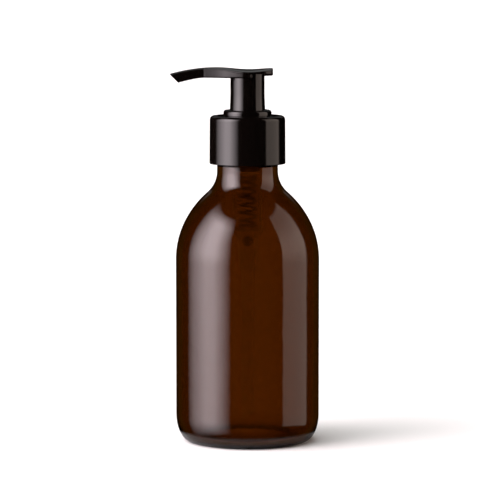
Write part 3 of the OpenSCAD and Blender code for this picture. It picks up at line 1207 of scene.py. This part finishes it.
    def build(self) -> None:
        """Makes the head."""
        body = skin("pump_head_moulding", self.skin_rings(), sharp=50)
        low, top, edge = self.low, self.top - self.skirt_top_drop, self.skirt_edge
        skirt = spun("skirt", np.concatenate([
            [(self.skirt_bore + 0.0002, low)],
            arc((self.skirt_low_r - edge, low + edge), edge, edge, -90, 0, 5),
            cubic((self.skirt_low_r, low + 0.0003), (0.00752, low + 0.003), (self.skirt_r, low + 0.006),
                  (self.skirt_r, low + 0.0086), 12),
            [(self.skirt_r, top), (self.skirt_bore, top), (self.skirt_bore, low + 0.0002)],
        ]), sides=144)
        socket_low, socket_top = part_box("pump_stem")[1].z - self.socket_deep, self.spout_z + 0.0005
        wall = self.socket_r + self.socket_wall
        socket = spun("socket", rounded([
            (self.socket_r, socket_low, 0.0002), (wall, socket_low, 0.0002),
            (wall, socket_top, 0.0), (self.socket_r, socket_top, 0.0),
        ]), sides=96)
        settle(joined([body, skirt, socket]), Body.ACTUATOR, Slot.BLACK, "pump_head")


# ---------------------------------------------------------------- the pump's inner parts


@dataclass
class Chamber:
    """What hangs from the closure: the housing, the dip tube, the check ball and its cage."""

    flange_thick: float = 0.00115
    cup_up: float = 0.0501
    cup_r: float = 0.01005
    cup_bore: float = 0.009
    cup_floor: float = 0.0014
    body_up: float = 0.0165
    body_r: float = 0.0065
    body_bore: float = 0.0055
    throat_up: float = 0.012
    throat_bore: float = 0.003
    inlet_r: float = 0.0016
    foot_r: float = 0.0043
    foot_end_r: float = 0.00373
    tube_socket_r: float = 0.00283
    tube_socket_deep: float = 0.0083
    vent_r: float = 0.0006
    vent_drop: float = 0.0018
    tube_r: float = 0.0028
    tube_bore: float = 0.002
    tube_edge: float = 0.00012
    tube_slant: float = 30.0
    cage_thick: float = 0.0012
    cage_ring_r: tuple[float, float] = (0.0023, 0.003)
    cage_slot: tuple[float, float, float] = (0.0029, 0.0011, 0.006)
    soft: float = 0.00015

    def housing(self) -> None:
        """Makes the pump housing: flange, cup, body, throat and the dip tube's socket, with a vent hole."""
        low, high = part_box("pump_housing")
        z0, z1 = low.z, high.z
        flange, socket = z1 - self.flange_thick, z0 + self.tube_socket_deep
        cup, body, throat = z0 + self.cup_up, z0 + self.body_up, z0 + self.throat_up
        floor = cup + self.cup_floor
        piece = spun("housing", rounded([
            (self.tube_socket_r, z0, 0.0003), (self.foot_end_r, z0, 0.0004), (self.foot_r, socket, 0.0006),
            (self.foot_r, throat + 0.0015, 0.0006), (self.body_r, body - 0.0008, 0.0008),
            (self.body_r, cup, 0.0004), (self.cup_r, cup, 0.0008), (self.cup_r, flange, 0.0003),
            (high.x, flange, 0.0002), (high.x, z1, 0.0002), (self.cup_bore, z1, 0.0003),
            (self.cup_bore, floor, 0.0004), (self.body_bore, floor, 0.0003), (self.body_bore, body, 0.0004),
            (self.throat_bore, body, 0.0003), (self.throat_bore, throat, 0.0002),
            (self.inlet_r, throat - 0.002, 0.0002), (self.inlet_r, socket, 0.0001),
            (self.tube_socket_r, socket, 0.0001),
        ]), sides=128)
        bored(piece, [self.vent(cup - self.vent_drop)])
        settle(piece, Body.CORE, Slot.NATURAL, "pump_housing")

    def vent(self, z: float) -> bpy.types.Object:
        """A pin for cutting the vent hole: a cylinder along X through the housing's wall.

        Args:
            z: its height.

        Returns:
            The pin.
        """
        turn = np.arange(32) * TAU / 32
        shape = np.stack([np.zeros(32), self.vent_r * np.cos(turn), self.vent_r * np.sin(turn)], axis=1)
        start, end = (0.004, 0, z), (0.008, 0, z)
        rings = ((start, 0), (start, 1), (end, 1), (end, 0))
        return skin("vent", np.stack([place + shape * size for place, size in rings]))

    def tube(self) -> None:
        """Makes the dip tube. Its lower end is cut at a slant: z = low + (x + radius) tan(slant)."""
        low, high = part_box("dip_tube")
        r, bore, e = self.tube_r, self.tube_bore, self.tube_edge
        turn = np.arange(64) * TAU / 64
        outline = rounded([(bore, 0.0, e), (r, 0.0, e), (r, 1.0, e), (bore, 1.0, e)], 3)
        x, y = outline[:, :1] * np.cos(turn), outline[:, :1] * np.sin(turn)
        up = outline[:, 1:2]
        slant = (x + r) * math.tan(math.radians(self.tube_slant))
        z = np.where(up > 0.5, high.z - (1.0 - up), low.z + up + slant)
        piece = skin("dip_tube_pipe", np.stack([x, y, z], axis=-1), wrap_rows=True)
        settle(piece, Body.CORE, Slot.TUBE, "dip_tube")

    def valve(self) -> None:
        """Makes the check ball and the slotted cage over it."""
        low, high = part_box("inlet_ball")
        r = (high.z - low.z) / 2
        ball = spun("check_ball_sphere", arc((0, low.z + r), r, r, -90, 90, 40), closed=False, sides=80)
        settle(ball, Body.BALL, Slot.BALL, "inlet_ball")
        low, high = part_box("ball_cage")
        top = low.z + self.cage_thick
        inner, outer = self.cage_ring_r
        cage = solid_of_corners("ball_cage_disc", [
            (0.0, low.z, 0.0), (high.x, low.z, self.soft), (high.x, top, self.soft), (outer, top, 0.0001),
            (outer, high.z, 0.0002), (inner, high.z, 0.0002), (inner, top, 0.0001), (0.0, top, 0.0),
        ], sides=96)
        slots = [block((self.cage_slot[0] / 2, 0, top), self.cage_slot, a) for a in (0, 120, 240)]
        settle(bored(cage, slots), Body.CORE, Slot.NATURAL, "ball_cage")


@dataclass
class Plunger:
    """What the head drives: the stem, the spring, the rod, the piston, and the seals that it slides in."""

    stem_r: float = 0.004
    stem_bore: float = 0.0021
    stem_socket_r: float = 0.0026
    stem_socket_deep: float = 0.008
    wire_r: float = 0.00045
    wire_sides: int = 16
    coil_r: float = 0.0037
    coils: int = 8
    coil_steps: int = 60
    close_wound: float = 1.08
    spring_keep: float = 0.4222
    rod_r: float = 0.00255
    guide_r: float = 0.0026
    guide_taper: float = 0.0008
    valve_up: float = 0.0055
    valve_thick: float = 0.0007
    valve_tall: float = 0.0019
    valve_top_r: float = 0.0029
    plug_taper: float = 0.0006
    flute: tuple[float, float] = (0.002, 0.0009)
    seal_bore: float = 0.00405
    piston_foot_r: float = 0.00305
    piston_foot: float = 0.0012
    piston_waist: float = 0.00055
    wiper_thick: float = 0.0005
    wiper_top_r: float = 0.0047
    washer_bore: float = 0.0103
    soft: float = 0.00015

    def stem(self) -> None:
        """Makes the hollow stem that carries the head."""
        low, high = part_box("pump_stem")
        socket, shelf, soft = self.stem_socket_r, low.z + self.stem_socket_deep, self.soft
        piece = spun("pump_stem_tube", rounded([
            (socket, low.z, soft), (self.stem_r, low.z, soft), (self.stem_r, high.z, 0.0004),
            (self.stem_bore, high.z, 0.0003), (self.stem_bore, shelf, soft), (socket, shelf, soft),
        ]), sides=96)
        settle(piece, Body.ACTUATOR, Slot.BLACK, "pump_stem")

    def spring(self) -> None:
        """Winds the return spring.

        At turn u the wire's middle is at angle 360 u. It climbs by 1.08 wires a turn in the end turns, and
        evenly between them. The wire's two ends are half balls.
        """
        low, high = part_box("return_spring")
        r, last = self.wire_r, self.coils
        close = self.close_wound * 2 * r
        tall = high.z - low.z - 2 * r
        cap = np.sin(np.radians([0, 25, 50, 75]))
        along = r * np.sqrt(1 - cap**2)
        u = np.linspace(0, last, last * self.coil_steps + 1)
        size = np.concatenate([cap, np.ones(len(u)), cap[::-1]])
        slide = np.concatenate([-along, np.zeros(len(u)), along[::-1]])
        u = np.pad(u, len(cap), mode="edge")
        height = np.interp(u, [0, 1, last - 1, last], [0, close, tall - close, tall])[:, None]
        angle = (TAU * u + slide / self.coil_r)[:, None]
        k = np.arange(self.wire_sides)[None, :] * TAU / self.wire_sides
        reach = self.coil_r + r * size[:, None] * np.cos(k)
        z = low.z + r + height + r * size[:, None] * np.sin(k)
        piece = skin("return_spring_coil", np.stack([reach * np.cos(angle), reach * np.sin(angle), z], -1))
        settle(piece, Body.CORE, Slot.WIRE, "return_spring")
        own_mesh(piece)

    def rod(self) -> None:
        """Makes the piston rod: a spring guide, a valve flange and a fluted plug."""
        low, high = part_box("piston_rod")
        valve = low.z + self.valve_up
        shoulder = valve + self.valve_tall
        piece = solid_of_corners("piston_rod_pin", [
            (0.0, low.z, 0.0), (0.0018, low.z, 0.0002), (self.guide_r, low.z + self.guide_taper, 0.0002),
            (self.guide_r, valve, 0.0001), (high.x, valve, 0.0001),
            (high.x, valve + self.valve_thick, 0.0001), (self.valve_top_r, shoulder, 0.0001),
            (self.rod_r, shoulder, 0.0), (self.rod_r, high.z - self.plug_taper, 0.0002),
            (self.rod_r - self.plug_taper, high.z, 0.0002), (0.0, high.z, 0.0),
        ], sides=96)
        tall = high.z - valve
        middle = (self.rod_r + 0.0003, 0, shoulder + 0.0003 + tall / 2)
        flutes = [block(middle, (*self.flute, tall), a) for a in (0, 90, 180, 270)]
        settle(bored(piece, flutes), Body.PLUNGER, Slot.NATURAL, "piston_rod")

    def seals(self) -> None:
        """Makes the two-lipped piston, the stem's wiper and the washer on the neck."""
        low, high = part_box("piston_seal")
        lip, z0, z1 = high.x, low.z, high.z
        waist, foot, bore = lip - self.piston_waist, self.piston_foot_r, self.seal_bore
        piston = spun("piston_cup", rounded([
            (foot, z0, 0.0001), (lip - 0.0004, z0, 0.0002), (lip, z0 + 0.0004, 0.0002),
            (lip, z0 + 0.0015, 0.0002), (waist, z0 + 0.0021, 0.0004), (waist, z1 - 0.0019, 0.0004),
            (lip, z1 - 0.0013, 0.0002), (lip, z1 - 0.0002, 0.0001), (lip - 0.00035, z1, 0.0001),
            (bore, z1, 0.0001), (bore, z0 + self.piston_foot, 0.0002), (foot, z0 + self.piston_foot, 0.0001),
        ]), sides=112)
        settle(piston, Body.SEAL, Slot.SOFT, "piston_seal")
        low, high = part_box("stem_wiper")
        wiper = spun("wiper_ring", rounded([
            (bore, low.z, 0.0001), (high.x, low.z, self.soft), (high.x, low.z + self.wiper_thick, self.soft),
            (self.wiper_top_r, high.z, self.soft), (bore, high.z, 0.0001),
        ]), sides=96)
        settle(wiper, Body.CORE, Slot.SOFT, "stem_wiper")
        low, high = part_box("neck_gasket")
        washer = spun("neck_washer", rounded([
            (r, z, 0.0002) for r, z in (
                (self.washer_bore, low.z), (high.x, low.z), (high.x, high.z), (self.washer_bore, high.z),
            )
        ]), sides=128)
        settle(washer, Body.CORE, Slot.FOAM, "neck_gasket")


# ---------------------------------------------------------------- the studio


@dataclass(frozen=True)
class Softbox:
    """A soft light in the sky, by direction from the object, in degrees.

    Angle 0 is towards the camera and + is to the right. Each side fades inwards over its soft angle.
    """

    start: float
    end: float
    soft_start: float
    soft_end: float
    top: float
    soft_top: float
    bottom: float
    soft_bottom: float
    power: float
    colour: Colour = (1.0, 1.0, 1.0)

    def glow(self, wiring: Wiring, azimuth: Source, elevation: Source) -> Source:
        """The light's colour in each direction: a product of straight ramps at its four sides.

        Args:
            wiring: the sky's wiring.
            azimuth: the direction's angle round the Z axis.
            elevation: its angle above the table.

        Returns:
            The colour.
        """
        shape = wiring.ramp(azimuth, self.start, self.start + self.soft_start)
        for source, end, inner in (
            (azimuth, self.end, self.end - self.soft_end),
            (elevation, self.top, self.top - self.soft_top),
            (elevation, self.bottom, self.bottom + self.soft_bottom),
        ):
            shape = wiring.math("MULTIPLY", shape, wiring.ramp(source, end, inner))
        return wiring.math("MULTIPLY", shape, tuple(self.power * c for c in self.colour), vector=True)


@dataclass
class Studio:
    """A pale table, a white surround and soft lights, seen by a long lens."""

    camera_back: float = 1.2911
    camera_up: float = 0.2201
    camera_down: float = 6.09
    camera_turn: float = -0.0474
    lens: float = 217.7
    table_rings: tuple[float, ...] = (0.0, 0.05, 0.1, 0.3, 1.0, 4.0, 12.0)
    table_colour: Colour = (0.93, 0.93, 0.925)
    near: float = 0.032
    near_fade: float = 1.12
    near_clear: float = 0.5
    backdrop: float = 1.3
    overhead: float = 2.88
    overhead_spread: float = 106.0
    overhead_tilt: float = -29.0
    lights: tuple[Softbox, ...] = (
        Softbox(-112, -27, 42, 29, 56, 14, -37, 44, 8.2, (1.0, 0.88, 0.915)),
        Softbox(57, 113, 3, 6, 55, 4, -18, 3, 0.95, (1.0, 0.82, 0.72)),
        Softbox(57, 113, 3, 6, 42, 22, -10, 18, 0.72, (1.0, 0.82, 0.72)),
        Softbox(-210, -150, 10, 10, 42, 15, 13, 8, 0.26),
        Softbox(150, 210, 10, 10, 42, 15, 13, 8, 0.26),
    )

    def camera(self) -> None:
        """Sets the camera: level with the upper part of the bottle, looking slightly down along +Y."""
        data = bpy.data.cameras.new("camera")
        data.lens = self.lens
        data.sensor_width = 36.0
        data.clip_end = 100.0
        camera = bpy.data.objects.new("camera", data)
        camera.location = (0, -self.camera_back, self.camera_up)
        camera.rotation_euler = (math.radians(90 - self.camera_down), 0, math.radians(self.camera_turn))
        bpy.context.scene.collection.objects.link(camera)
        bpy.context.scene.camera = camera

    def table(self) -> None:
        """Makes the table: a large pale disc that mirrors see only near the object.

        For a mirrored or shadow ray the disc turns transparent with distance from the middle, so that the
        glass and the plastic reflect the lights and the dark room past it. Through glass it is plain white.
        """
        rings = np.array(self.table_rings)[:, None]
        turn = np.arange(96) * TAU / 96
        flat = np.zeros((len(rings), len(turn)))
        table = skin("table", np.stack([rings * np.cos(turn), rings * np.sin(turn), flat], axis=-1))
        if table.data.polygons[0].normal.z < 0:
            table.data.flip_normals()
        top = Finish("table")
        top.give(Base_Color=(*self.table_colour, 1.0), Roughness=1.0, Specular_IOR_Level=0.0)
        wiring = top.wiring
        reach = wiring.math("LENGTH", (wiring.add("ShaderNodeTexCoord"), "Object"), vector=True)
        far = wiring.ramp(reach, self.near, self.near * self.near_fade, low=self.near_clear)
        path = wiring.add("ShaderNodeLightPath")
        mirrored = wiring.math("SUBTRACT", (path, "Is Glossy Ray"), (path, "Is Transmission Ray"), clamp=True)
        either = wiring.math("MAXIMUM", mirrored, (path, "Is Shadow Ray"))
        clear = (wiring.add("ShaderNodeBsdfTransparent"), "BSDF")
        seen = wiring.mixed(wiring.math("MULTIPLY", either, far), (top.shader, "BSDF"), clear)
        white = (wiring.add("ShaderNodeEmission"), "Emission")
        surface = wiring.mixed((path, "Is Transmission Ray"), seen, white)
        wiring.fill(top.output, {"Surface": surface})
        table.data.materials.append(top.material)
        table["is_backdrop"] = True

    def sky(self) -> None:
        """Sets the surround: white straight on and through glass, and otherwise dark with the soft lights.

        The direction's azimuth is the arctangent of x over -y and its elevation the arcsine of z, in degrees.
        """
        world = bpy.data.worlds.new("studio")
        bpy.context.scene.world = world
        world.use_nodes = True
        world.node_tree.nodes.clear()
        wiring = Wiring(world.node_tree)
        coords = (wiring.add("ShaderNodeTexCoord"), "Generated")
        parts = wiring.add("ShaderNodeSeparateXYZ", Vector=coords)
        toward = wiring.math("MULTIPLY", (parts, "Y"), -1.0)
        azimuth = wiring.math("DEGREES", wiring.math("ARCTAN2", (parts, "X"), toward))
        elevation = wiring.math("DEGREES", wiring.math("ARCSINE", (parts, "Z")))
        total, *others = (light.glow(wiring, azimuth, elevation) for light in self.lights)
        for glow in others:
            total = wiring.math("ADD", total, glow, vector=True)
        path = wiring.add("ShaderNodeLightPath")
        seen = (path, "Is Camera Ray")
        strength = wiring.math("MULTIPLY_ADD", seen, self.backdrop - 1, 1.0)
        boxes = (wiring.add("ShaderNodeBackground", Color=total), "Background")
        white = (wiring.add("ShaderNodeBackground", Strength=strength), "Background")
        straight = wiring.math("MAXIMUM", seen, (path, "Is Transmission Ray"))
        wiring.add("ShaderNodeOutputWorld", Surface=wiring.mixed(straight, boxes, white))

    def ceiling(self) -> None:
        """Adds the wide light overhead that whitens the table. It shows in no mirror."""
        data = bpy.data.lights.new("ceiling", "SUN")
        data.energy = self.overhead
        data.angle = math.radians(self.overhead_spread)
        light = bpy.data.objects.new("ceiling", data)
        light.rotation_euler.y = math.radians(self.overhead_tilt)
        light.visible_glossy = False
        light.visible_transmission = False
        bpy.context.scene.collection.objects.link(light)
        light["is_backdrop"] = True

    def build(self) -> None:
        """Sets up the view, the table and the light."""
        scene = bpy.context.scene
        scene.view_settings.view_transform = "Standard"
        scene.cycles.max_bounces = 24
        scene.cycles.transmission_bounces = 20
        scene.cycles.transparent_max_bounces = 16
        scene.cycles.film_exposure = 1.0
        self.camera()
        self.table()
        self.sky()
        self.ceiling()


def save_sizes() -> None:
    """Gathers the bounds before and after the new pieces as plain lists, and keeps them nowhere."""
    def plain(value: object) -> object:
        """Turns vectors and tuples into lists."""
        return value if isinstance(value, (int, float, str)) else [plain(v) for v in value]

    {"cad": plain(cad_bounds), "scene": plain(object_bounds())}


def main() -> None:
    """Builds every piece and the studio."""
    logging.basicConfig(level=logging.INFO)
    closure, chamber, plunger = Closure(), Chamber(), Plunger()
    Bottle().build()
    closure.collar()
    closure.ring()
    Head().build()
    plunger.stem()
    chamber.housing()
    chamber.tube()
    chamber.valve()
    plunger.spring()
    plunger.rod()
    plunger.seals()
    Studio().build()
    save_sizes()


if __name__ == "__main__":
    main()
